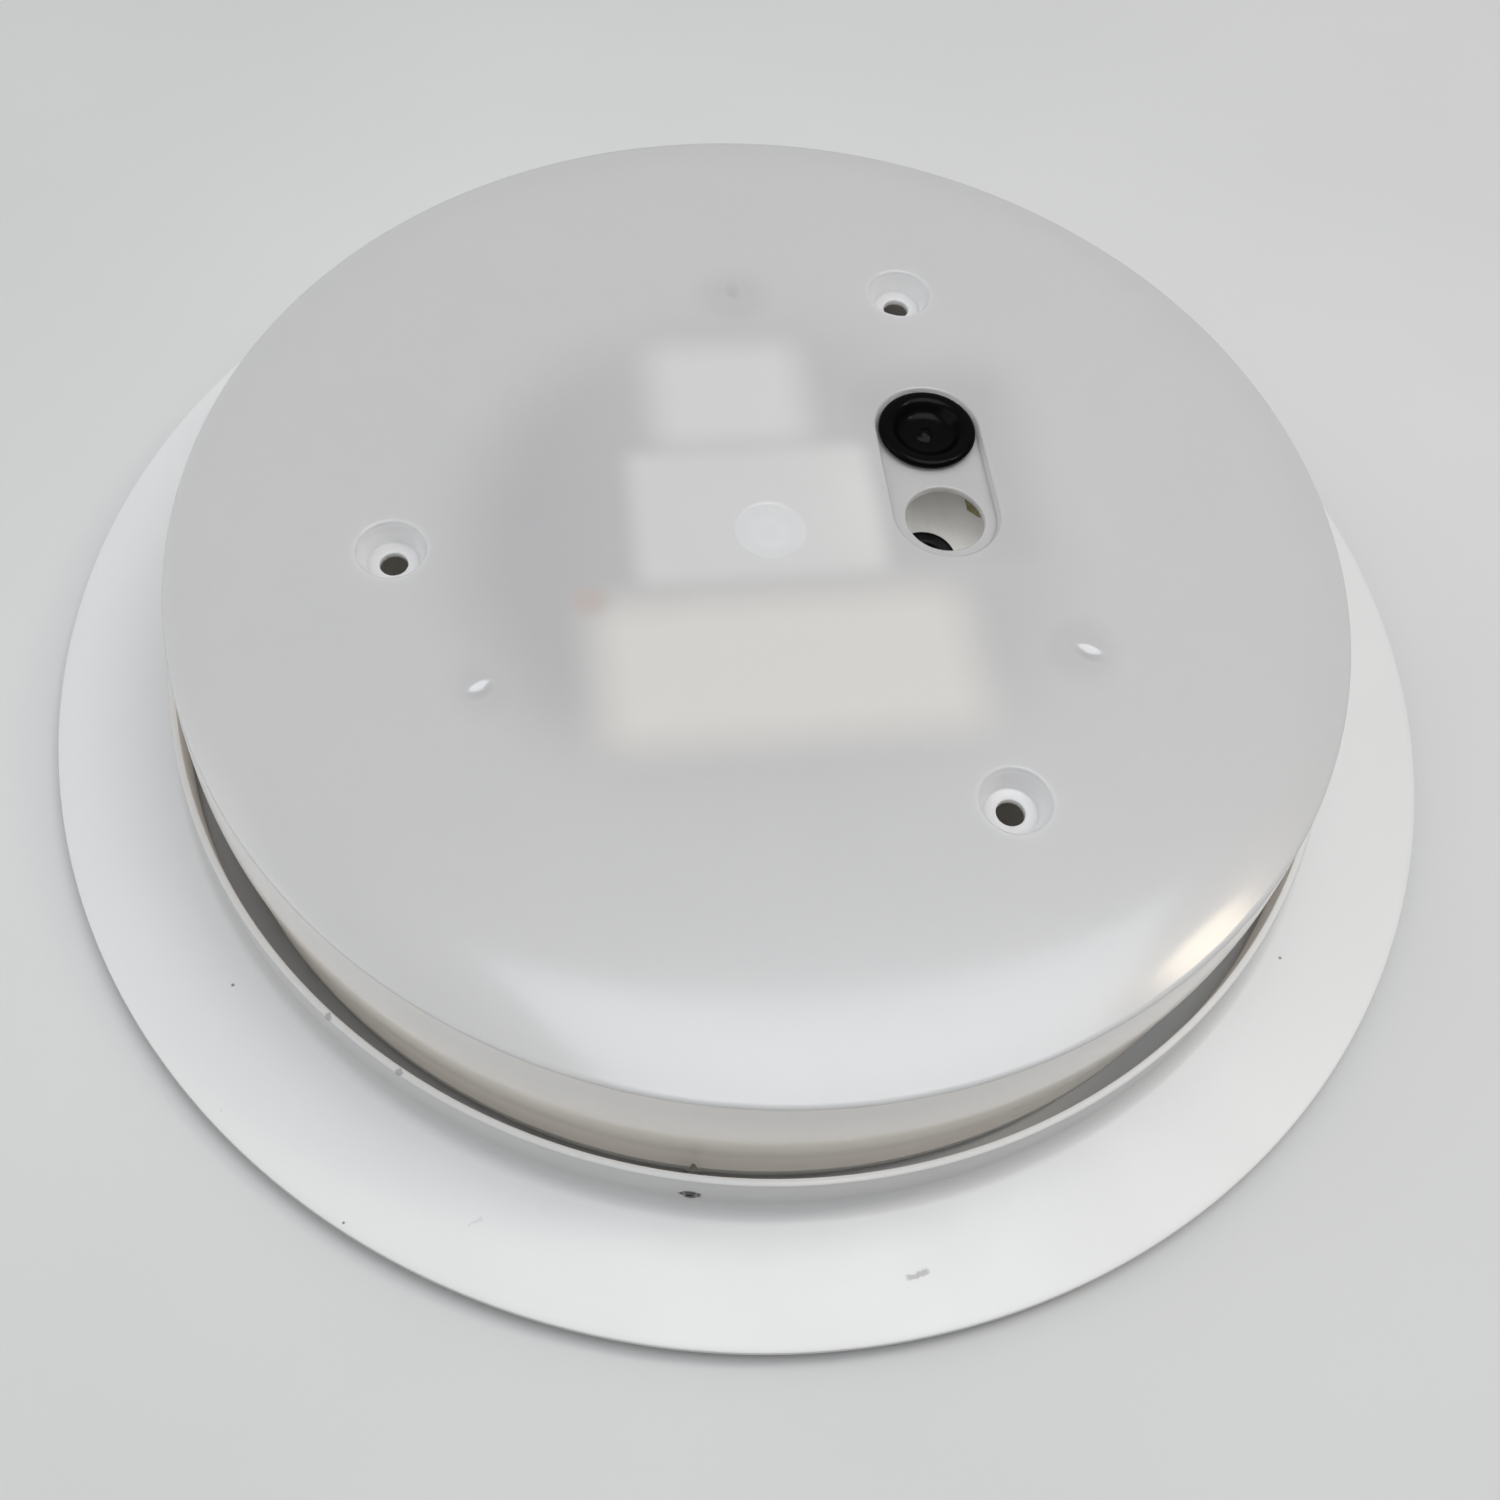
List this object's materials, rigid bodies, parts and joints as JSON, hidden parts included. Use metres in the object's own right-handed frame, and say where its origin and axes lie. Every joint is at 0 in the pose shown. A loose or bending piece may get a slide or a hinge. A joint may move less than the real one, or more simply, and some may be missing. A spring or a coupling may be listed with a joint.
{
  "type": "ceiling light",
  "caption": "Round surface-mounted ceiling light: opal plastic body with recessed cable entries and fixing cups, held in a wide white trim ring.",
  "frame": {"origin": "centre of the diffuser's flat front, the lowest face when it lies on its front", "axes": "+Z out of the back, towards the ceiling; +Y towards the tray boss at the terminal block; the cable entries lie at +X"},
  "size_m": [0.379, 0.379, 0.061],
  "materials": {
    "opal_plastic": "semi-gloss translucent moulding, light scratches",
    "diffuser_plastic": "satin opal moulding",
    "white_paint": "white powder coat with small chips",
    "black_rubber": "soft semi-gloss rubber",
    "silicone": "matt silicone",
    "tray_steel": "grey galvanised sheet",
    "bright_steel": "bright zinc plated",
    "cream_plastic": "moulded, fine texture",
    "grey_plastic": "moulded, fine texture",
    "white_plastic": "moulded",
    "orange_plastic": "moulded",
    "board_green": "solder mask over fibreglass",
    "lamp_board_white": "white solder mask",
    "red_lead": "insulation",
    "black_lead": "insulation",
    "brown_lead": "insulation",
    "blue_lead": "insulation"
  },
  "bodies": {
    "diffuser": {"front_diffuser": "diffuser_plastic", "diffuser_seal": "silicone"},
    "housing": {"back_housing": "opal_plastic", "cable_grommet": "black_rubber", "gear_tray": "tray_steel", "wire_bush": "black_rubber", "driver_case": "cream_plastic", "driver_lid": "cream_plastic", "driver_board": "board_green", "sensor_case": "grey_plastic", "sensor_lid": "grey_plastic", "sensor_board": "board_green", "terminal_block": "white_plastic", "lamp_board": "lamp_board_white", "lamp_connector": "white_plastic", "lamp_lead_red": "red_lead", "lamp_lead_black": "black_lead", "mains_lead_live": "brown_lead", "mains_lead_neutral": "blue_lead", "tray_screw_1": "bright_steel", "board_screw_1": "bright_steel", "tray_screw_2": "bright_steel", "board_screw_2": "bright_steel", "tray_screw_3": "bright_steel", "board_screw_3": "bright_steel", "driver_screw_1": "bright_steel", "sensor_screw_1": "bright_steel", "driver_screw_2": "bright_steel", "sensor_screw_2": "bright_steel"},
    "ring": {"trim_ring": "white_paint"},
    "set_screw_1": {"set_screw_1": "bright_steel"},
    "set_screw_2": {"set_screw_2": "bright_steel"},
    "set_screw_3": {"set_screw_3": "bright_steel"},
    "terminal_button_live": {"terminal_button_live": "orange_plastic"},
    "terminal_button_neutral": {"terminal_button_neutral": "orange_plastic"},
    "terminal_button_earth": {"terminal_button_earth": "orange_plastic"}
  },
  "joints": [
    {"name": "housing_lift", "type": "slide", "parent": "diffuser", "child": "housing", "axis": [0, 0, 1], "range_m": [0, 0.05]},
    {"name": "ring_slide", "type": "slide", "parent": "housing", "child": "ring", "axis": [0, 0, 1], "range_m": [-0.0042, 0.006]},
    {"name": "set_screw_1_advance", "type": "slide", "parent": "ring", "child": "set_screw_1", "axis": [-0.9537, -0.3007, 0], "range_m": [-0.004, 0]},
    {"name": "set_screw_2_advance", "type": "slide", "parent": "ring", "child": "set_screw_2", "axis": [0.7373, -0.6756, 0], "range_m": [-0.004, 0]},
    {"name": "set_screw_3_advance", "type": "slide", "parent": "ring", "child": "set_screw_3", "axis": [0.2164, 0.9763, 0], "range_m": [-0.004, 0]},
    {"name": "press_live", "type": "slide", "parent": "housing", "child": "terminal_button_live", "axis": [0, 0, -1], "range_m": [0, 0.0014], "stiffness_N_per_m": 400, "springref_m": -0.0008},
    {"name": "press_neutral", "type": "slide", "parent": "housing", "child": "terminal_button_neutral", "axis": [0, 0, -1], "range_m": [0, 0.0014], "stiffness_N_per_m": 400, "springref_m": -0.0008},
    {"name": "press_earth", "type": "slide", "parent": "housing", "child": "terminal_button_earth", "axis": [0, 0, -1], "range_m": [0, 0.0014], "stiffness_N_per_m": 400, "springref_m": -0.0008}
  ]
}
